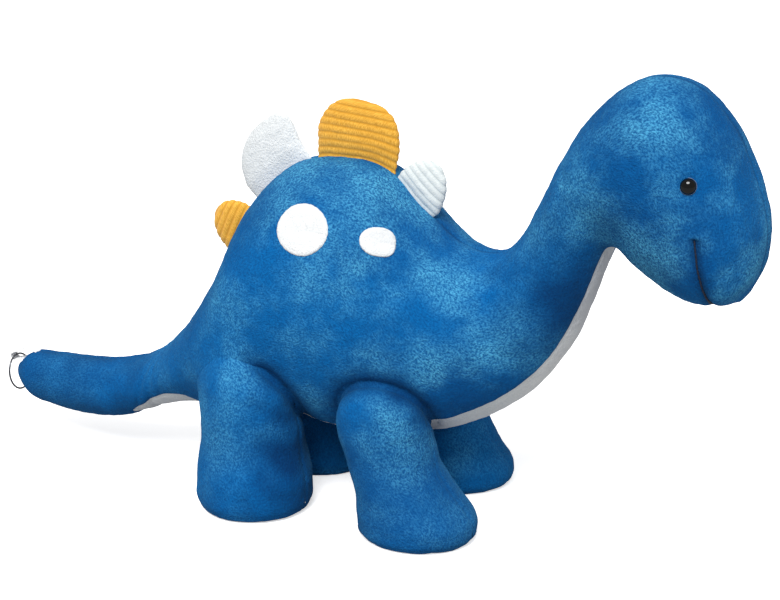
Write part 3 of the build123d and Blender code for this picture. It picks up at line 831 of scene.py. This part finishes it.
def plate_rows(length, height, lean, boxy, straight, count, inset=0.0, root=3.5):
    """Rows from the root to the crown; above the straight part each end is at (1-v^p)^(1/p) of half the length."""
    z = np.linspace(0, 1, count + 1)
    z = -root + inset + (height + root - 2 * inset) * np.sin(z * np.pi / 2)
    v = np.clip((z - straight * height) / ((1 - straight) * height - inset), 0, 1)
    waist = (length / 2 - inset) * (1 - 0.05 * np.clip(1 - z / (straight * height), 0, 1))
    rear, front = (waist * (1 - v**p) ** (1 / p) for p in boxy)
    w = np.clip(z / height, 0, 1)
    thick = (PLATE_THICKNESS / 2 - inset) * np.clip(0.55 + 1.6 * w, 0, 1) * np.clip((1 - v**3), 0, 1) ** 0.5
    thick[-1] = 0
    crown = lean * height * v
    return np.stack([crown - rear, z, crown + front, z, np.maximum(thick, 0)], 1)


def stand_up(grid, middle, along):
    """Turns a plate drawn on the x axis onto its seam on the back."""
    x, y, z = grid[..., 0], grid[..., 1], grid[..., 2]
    return np.stack([middle[0] + x * along[0] - z * along[1], y, middle[1] + x * along[1] + z * along[0]], -1)


def ridge(x):
    """Height of the back at x."""
    return np.interp(x, ridge_x[tail_end:torso_end], ridge_z[tail_end:torso_end])


def seated(grid, middle, along, tall):
    """Bends a plate's lower part down to the curve of the back, fading out towards its crown."""
    reach = np.linspace(-0.05, 0.05, 101)
    x = middle[0] + reach * along[0]
    sag = (ridge(x) - middle[1] - reach * along[1]) * along[0] - 0.0005
    share = np.clip(1 - grid[..., 2] / (tall / 1000), 0, 1) ** 1.5
    moved = grid.copy()
    moved[..., 2] += np.interp(grid[..., 0], reach, np.clip(sag, -0.008, 0.0)) * share
    return moved


for number, (name, (start, stop, tall, lean, boxy, straight, ribbed, colour)) in enumerate(PLATES.items()):
    ends = np.array([[x / 1000, ridge(x / 1000)] for x in (start, stop)])
    chord = ends[1] - ends[0]
    length = np.linalg.norm(chord)
    along = chord / length
    inside = np.linspace(start, stop, 9)[1:-1] / 1000
    bulge = np.stack([inside, ridge(inside)], 1) - ends[0]
    rise = (bulge @ np.array([-along[1], along[0]])).max()
    middle = ends.mean(0) + np.array([-along[1], along[0]]) * (rise + 0.001)
    rows = plate_rows(length * 1000, tall, lean, boxy, straight, 112)
    turn = np.linspace(0, 2 * np.pi, 161)[None]
    flat = tube(rows, turn, power=2.6)
    outward = normals_of(flat)
    lump = soft(flat + number, 90 + number, 0.35)
    if ribbed:
        lump += 0.55 * np.abs(np.cos(np.pi * flat[..., 2] / RIB)) ** 0.7 - 0.3
    lump -= 0.8 * dip(np.minimum(turn, 2 * np.pi - turn) * 30, 1.5) + 0.8 * dip((turn - np.pi) * 30, 1.5)
    lump *= np.clip((len(rows) - 1 - np.arange(len(rows))) / 4, 0, 1)[:, None]
    ribs_at = np.stack([flat[..., 2], lengths_of(flat)[..., 1]], -1)
    flat = seated(flat + outward * lump[..., None] / 1000, middle, along, tall)
    material = {"mustard": mustard_corduroy, "white": white_corduroy if ribbed else white_plush}[colour]
    cover = closed(f"{name}_cover", stand_up(flat, middle, along), material, True, ribs_at)
    slot = "white_plush" if not ribbed else f"{colour}_corduroy"
    standing_for(cover, name, slot, 0.6, f"{name}_cover")
    core = tube(plate_rows(length * 1000, tall, lean, boxy, straight, 20, 2.2, 2.0), turn[:, ::8], power=2.6)
    core = seated(core, middle, along, tall)
    batting = closed(f"{name}_batting", stand_up(core, middle, along), filling, caps=True)
    standing_for(batting, name, "stuffing", 0.6, f"{name}_batting")

# %% [markdown]
# ## Spots, eyes and mouth
#
# The spots are felt-like discs laid on the finished skin. A ray from the side finds the skin under each point.

# %% Spots
skin_faces = quads(np.arange(outer[..., 0].size).reshape(outer.shape[:2])).reshape(-1, 4)
skin_tree = BVHTree.FromPolygons(outer.reshape(-1, 3).tolist(), skin_faces.tolist())


def on_skin(x, z, side):
    """The skin's point and normal seen from one side at each x and z."""
    inwards = Vector((0, -side, 0))
    hits = [skin_tree.ray_cast(Vector((a, side * 0.3, b)), inwards) for a, b in zip(x.ravel(), z.ravel())]
    point = np.array([h[0] for h in hits]).reshape(*x.shape, 3)
    normal = np.array([h[1] for h in hits]).reshape(*x.shape, 3)
    return point, normal * np.sign(normal[..., 1:2] * side)


for name, (cx, cz, rx, rz, odd, fall) in SPOTS.items():
    share = np.concatenate([np.linspace(0.04, 1, 26), [1.0, 0.93]])
    lift = np.concatenate([0.4 + 1.3 * np.sqrt(np.clip(1 - np.linspace(0.04, 1, 26) ** 6, 0, 1)), [-0.9, -1.2]])
    turn = np.linspace(0, 2 * np.pi, 97)[None]
    wobble = 1 + odd * dip(turn - 5.65, 0.5) - 0.4 * odd * dip(turn - 4.9, 0.5) + 0.005 * np.sin(23 * turn)
    across = share[:, None] * wobble
    for side, label in ((-1, "right"), (1, "left")):
        x = (cx + rx * across * np.cos(turn)) / 1000
        z = (cz + rz * across * np.sin(turn)) / 1000 - fall * (x - cx / 1000)
        point, normal = on_skin(x, z, side)
        disc = point + normal * (lift[:, None, None] + 0.25 * noise(point, 0.006, 7)[..., None]) / 1000
        if side == 1:
            disc = disc[:, ::-1]
        centre = disc[:1].copy()
        centre[:] = disc[:1, :-1].mean(1, keepdims=True)
        base = disc[-1:].copy()
        base[:] = disc[-1:, :-1].mean(1, keepdims=True)
        whole = np.concatenate([centre, disc, base])[:, ::-1]
        piece = closed(f"{name}_{label}", whole, white_felt)
        standing_for(piece, "torso", "white_plush", None, f"{name}_{label}")

# %% [markdown]
# A safety eye is a glossy dome on a ribbed shank, pushed through the cloth and locked by a washer inside. The
# dome is a profile turned round its axis. The washer is the CAD's own, with a plastic finish.

# %% Eyes
# Radius and height: the dome, then the shank behind the cloth; and the ring round the dome's foot.
EYE_PROFILE = [
    (0.0, 4.0), (1.3, 3.9), (2.5, 3.55), (3.5, 2.95), (4.2, 2.2), (4.6, 1.4), (4.75, 0.7), (4.6, 0.0),
    (1.5, -0.6), (1.5, -8.5), (0.0, -9.0),
]
RIM_PROFILE = [(4.4, -0.4), (4.6, 0.3), (4.75, 0.55), (4.95, 0.55), (5.05, 0.2), (4.95, -0.4), (4.4, -0.4)]
DOME = 7  # the row of the profile where the dome ends


def lathe(profile, origin, axis, count=64):
    """A profile of radius and height turned round an axis."""
    a = np.array(axis) / np.linalg.norm(axis)
    e1 = np.cross(a, (0, 0, 1.0))
    e1 /= np.linalg.norm(e1)
    e2 = np.cross(a, e1)
    turn = np.linspace(0, 2 * np.pi, count + 1)[None, :, None]
    r, h = np.array(profile).T[:, :, None, None] / 1000
    return np.array(origin) + a * h + r * (np.cos(turn) * e1 + np.sin(turn) * e2)


for side, label in ((-1, "right"), (1, "left")):
    axis = np.array([0.2657, side * 0.9301, 0.2537])
    seat = np.array([EYE[0] / 1000, side * 0.0433, EYE[1] / 1000]) - axis * 0.0009
    knots = np.arange(len(EYE_PROFILE), dtype=float)
    profile = curve_through(np.array(EYE_PROFILE), knots, np.linspace(0, DOME, 43))
    profile = np.concatenate([profile, EYE_PROFILE[DOME + 1 :]])
    profile[:, 0] = np.maximum(profile[:, 0], 0)
    button = closed(f"eye_{label}", lathe(profile, seat, axis), eye_plastic)
    standing_for(button, "head", "eye_plastic", None, f"eye_{label}")
    rim = closed(f"eye_rim_{label}", lathe(RIM_PROFILE, seat, axis), eye_rim)
    standing_for(rim, "head", "eye_plastic", None)
    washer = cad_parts[f"eye_washer_{label}"]
    washer = bpy.data.objects[washer] if isinstance(washer, str) else washer
    washer.data.materials.clear()
    washer.data.materials.append(washer_plastic)

# %% [markdown]
# The mouth is one line of thread from cheek to cheek, sewn down into the groove that the body's grid already has.
# Its path is where the skin crosses the mouth line, and the cord swells a little with each stitch.

# %% Mouth
head_rows = slice(torso_end, head_end + 1)
line_points = []
for column in range(SIDE // 3, outer.shape[1] - SIDE // 3, 2):
    x, z = side_x[head_rows, column], side_z[head_rows, column]
    ahead = (x - np.interp(z, mouth_z, mouth_x)) * (z < mouth_z[-1] + 1)
    change = np.nonzero((ahead[:-1] < 0) & (ahead[1:] >= 0) & (z[1:] < mouth_z[-1]))[0]
    if len(change):
        k = torso_end + change[0]
        line_points.append(outer[k, column] + fine_facing[k, column] * 0.0003)
line_points = np.array(line_points)
steps = np.concatenate([[0], np.cumsum(np.linalg.norm(np.diff(line_points, axis=0), axis=1))])
even = np.linspace(0, steps[-1], 260)
thread_path = np.stack([np.interp(even, steps, line_points[:, k]) for k in range(3)], 1)
for _ in range(6):
    thread_path[1:-1] = (thread_path[:-2] + 2 * thread_path[1:-1] + thread_path[2:]) / 4
stitch = 0.00042 + 0.00018 * np.abs(np.sin(np.pi * even / 0.0036)) + 0.00035 * np.sin(np.pi * even / steps[-1]) ** 4
mouth = swept("mouth_stitching", thread_path, stitch, dark_thread)
standing_for(mouth, "head", "dark_thread", None, "mouth_stitching")
print(f"mouth line {steps[-1] * 1000:.0f} mm")

# %% [markdown]
# A thin wire ring hangs in a folded ribbon at the tail's tip. Both are shapes carried along a path: a circle
# along the ring, and a flat strip with rounded edges along the ribbon's fold.

# %% Ring and ribbon
RING_X, RING_Z, RING_RADIUS, WIRE = -0.27035, 0.0435, 0.0125, 0.0007
turn = np.radians(np.linspace(-78, 276, 140))
lean_in = RING_RADIUS * (1 - np.sin(turn)) * np.tan(np.radians(9))
ring_path = np.stack([RING_X + lean_in, RING_RADIUS * np.cos(turn), RING_Z + RING_RADIUS * np.sin(turn)], 1)
ring = swept("tail_ring", ring_path, WIRE, steel, 16)
standing_for(ring, "ring", "wire", None, "tail_ring")

RIBBON = [
    (-247.0, 57.0), (-250.5, 60.8), (-255.0, 62.6), (-260.5, 62.0), (-266.0, 60.0), (-270.5, 58.5),
    (-272.9, 56.8), (-272.8, 54.6), (-270.6, 53.2), (-267.6, 53.8), (-264.5, 54.4), (-259.0, 53.0),
]
ribbon_table = np.array(RIBBON)
knots = np.concatenate([[0], np.cumsum(np.linalg.norm(np.diff(ribbon_table, axis=0), axis=1))])
line = curve_through(ribbon_table, knots, np.linspace(0, knots[-1], 150)) / 1000
tangent = np.gradient(line, axis=0)
tangent /= np.linalg.norm(tangent, axis=1, keepdims=True)
lengthwise = np.stack([tangent[:, 1], -tangent[:, 0]], 1)
RIBBON_EDGE = [
    (1.0, 0.0), (0.97, 0.8), (0.9, 1.0), (0.5, 1.0), (0.0, 1.0), (-0.5, 1.0), (-0.9, 1.0), (-0.97, 0.8),
    (-1.0, 0.0),
]
edge = np.array(RIBBON_EDGE + [(a, -b) for a, b in RIBBON_EDGE[::-1][1:]])
across = edge[None, :, 0] * (0.004 + 0.00012 * np.sin(np.linspace(0, 60, 150)))[:, None]
thick = edge[None, :, 1] * 0.0004
x, z = (line[:, k, None] + thick * lengthwise[:, k, None] for k in (0, 1))
grid = np.stack([x, across, z], -1)
tips = [np.repeat(grid[k : k + 1].mean(1, keepdims=True), grid.shape[1], 1) for k in (0, -1)]
ribbon = closed("tail_ribbon", np.concatenate([tips[0], grid, tips[1]]), ribbon_cloth)
standing_for(ribbon, "tail", "ribbon", None, "tail_ribbon")

# %% [markdown]
# One broad sun and a white world make soft studio light. The floor shows the camera a paper white, while the
# toy only sees a middle grey, so that its underside keeps its shade.

# %% Light, floor and camera
sun_data = bpy.data.lights.new("key", "SUN")
sun_data.energy, sun_data.angle = 3.1, np.radians(30)
sun = bpy.data.objects.new("key", sun_data)
sun.rotation_euler = Vector((-0.15, 0.8, -1.05)).to_track_quat("-Z", "Y").to_euler()
bpy.context.collection.objects.link(sun)

world = bpy.data.worlds.new("studio")
world.use_nodes = True
background = world.node_tree.nodes["Background"]
background.inputs[0].default_value = (1.0, 1.0, 1.0, 1.0)
rays = node(world.node_tree, "ShaderNodeLightPath").outputs
seen_more = maths(world.node_tree, "MULTIPLY", rays["Is Camera Ray"], 0.42)
mirrored = maths(world.node_tree, "MULTIPLY", rays["Is Glossy Ray"], 0.25)
strength = maths(world.node_tree, "ADD", 0.58, maths(world.node_tree, "SUBTRACT", seen_more, mirrored))
world.node_tree.links.new(strength, background.inputs[1])
bpy.context.scene.world = world

floor_mesh = bpy.data.meshes.new("floor")
floor_mesh.from_pydata([(-8, -8, 0), (8, -8, 0), (8, 8, 0), (-8, 8, 0)], [], [(0, 1, 2, 3)])
paper, paper_tree, paper_out = new_material("floor_paper")
seen = node(paper_tree, "ShaderNodeLightPath").outputs[0]
tone = blended(paper_tree, seen, (0.38, 0.38, 0.38, 1.0), (0.97, 0.97, 0.97, 1.0))
glow_strength = maths(paper_tree, "MULTIPLY", seen, 0.56)
paper_glow = node(paper_tree, "ShaderNodeEmission", Strength=glow_strength)
paper_matt = node(paper_tree, "ShaderNodeBsdfDiffuse", Color=tone)
paper_shader = node(paper_tree, "ShaderNodeAddShader", _0=paper_glow.outputs[0], _1=paper_matt.outputs[0])
paper_tree.links.new(paper_shader.outputs[0], paper_out.inputs[0])
floor_mesh.materials.append(paper)
floor = bpy.data.objects.new("floor", floor_mesh)
bpy.context.collection.objects.link(floor)

camera_data = bpy.data.cameras.new("camera")
camera_data.lens, camera_data.sensor_width = 90, 36
camera = bpy.data.objects.new("camera", camera_data)
camera.location = (0.5352, -1.0897, 0.5285)
camera.rotation_euler = (np.radians(90 - 18), 0, np.radians(25))
bpy.context.collection.objects.link(camera)
bpy.context.scene.camera = camera
bpy.context.scene.view_settings.view_transform = "Standard"
